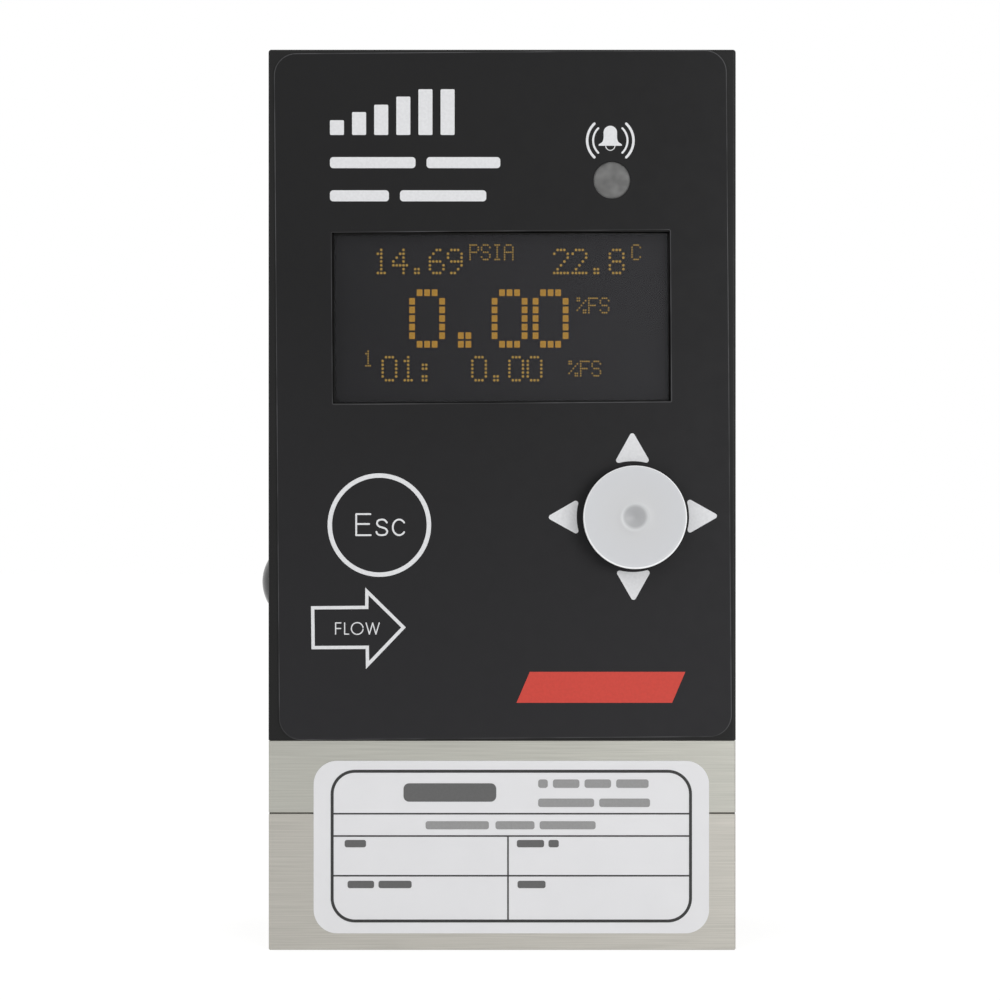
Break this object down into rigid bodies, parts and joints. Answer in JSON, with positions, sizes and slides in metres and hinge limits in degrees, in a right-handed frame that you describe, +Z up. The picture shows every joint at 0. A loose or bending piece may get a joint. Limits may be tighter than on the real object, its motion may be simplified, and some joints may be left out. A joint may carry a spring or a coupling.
{
  "type": "digital flow meter",
  "caption": "Upright gas flow meter with a display, joystick and escape key on a black housing, over a steel flow body with threaded side ports.",
  "frame": {"origin": "middle of the flat base of the flow body", "axes": "+Z up the housing, the display faces -Y, +X from the inlet port to the outlet port"},
  "size_m": [0.0658, 0.0373, 0.1224],
  "materials": {
    "housing_black": "black anodised, satin",
    "film_black": "fine matte polyester film",
    "print_white": "screen print",
    "print_red": "screen print",
    "label_white": "satin label film",
    "label_ink": "black print",
    "lens_smoke": "smoked acrylic",
    "panel_dark": "dark display glass",
    "figures_amber": "lit amber",
    "lamp_frosted": "frosted diffuser",
    "knob_white": "satin translucent white",
    "plastic_black": "moulded",
    "plug_black": "glossy moulded",
    "rubber_black": "matte",
    "steel_brushed": "fine horizontal brushing",
    "screw_steel": "machined",
    "connector_steel": "tinned",
    "brass": "nickel-free, turned",
    "board_green": "solder mask"
  },
  "bodies": {
    "meter_body": {"housing": "housing_black", "rear_cover": "housing_black", "rear_gasket": "rubber_black", "cover_screws": "screw_steel", "side_plug": "plug_black", "front_overlay": "film_black", "overlay_print": "print_white", "direction_arrows": "print_white", "accent_mark": "print_red", "rating_label": "label_white", "label_print": "label_ink", "display_lens": "lens_smoke", "display_panel": "panel_dark", "display_figures": "figures_amber", "display_frame": "plastic_black", "alarm_lamp": "lamp_frosted", "joystick_case": "plastic_black", "joystick_lid": "screw_steel", "escape_switch": "plastic_black", "display_board": "board_green", "main_board": "board_green", "board_spacers": "brass", "board_screws": "screw_steel", "board_link": "plastic_black", "processor_chip": "plastic_black", "power_capacitors": "screw_steel", "alarm_relays": "plastic_black", "signal_connector": "connector_steel", "connector_core": "plastic_black", "jackscrews": "connector_steel", "flow_body": "steel_brushed", "manifold_block": "steel_brushed", "block_screws": "screw_steel", "laminar_flow_element": "screw_steel", "inlet_screen": "screw_steel", "screen_ring": "screw_steel", "tap_seals": "rubber_black", "nozzle_seals": "rubber_black", "difference_pressure_sensor": "plastic_black", "absolute_pressure_sensor": "plastic_black", "temperature_probe": "screw_steel", "sensor_posts": "brass", "sensor_board": "board_green", "sensor_header": "plastic_black"},
    "stick_ring": {"gimbal_ring": "brass"},
    "stick_rocker": {"stick_hub": "brass"},
    "stick": {"joystick_knob": "knob_white", "joystick_stem": "screw_steel"},
    "escape_key": {"escape_plunger": "plastic_black", "escape_switch_stem": "plastic_black"}
  },
  "joints": [
    {"name": "stick_up_down", "type": "hinge", "parent": "meter_body", "child": "stick_ring", "pos_m": [0.01785, -0.0094, 0.05895], "axis": [1, 0, 0], "range_deg": [-5, 5], "stiffness_Nm_per_rad": 0.08},
    {"name": "stick_left_right", "type": "hinge", "parent": "stick_ring", "child": "stick_rocker", "pos_m": [0.01785, -0.0094, 0.05895], "axis": [0, 0, 1], "range_deg": [-5, 5], "stiffness_Nm_per_rad": 0.08},
    {"name": "stick_press", "type": "slide", "parent": "stick_rocker", "child": "stick", "axis": [0, 1, 0], "range_m": [0, 0.0003], "stiffness_N_per_m": 4000},
    {"name": "escape_press", "type": "slide", "parent": "meter_body", "child": "escape_key", "axis": [0, 1, 0], "range_m": [0, 0.0003], "stiffness_N_per_m": 4000}
  ]
}
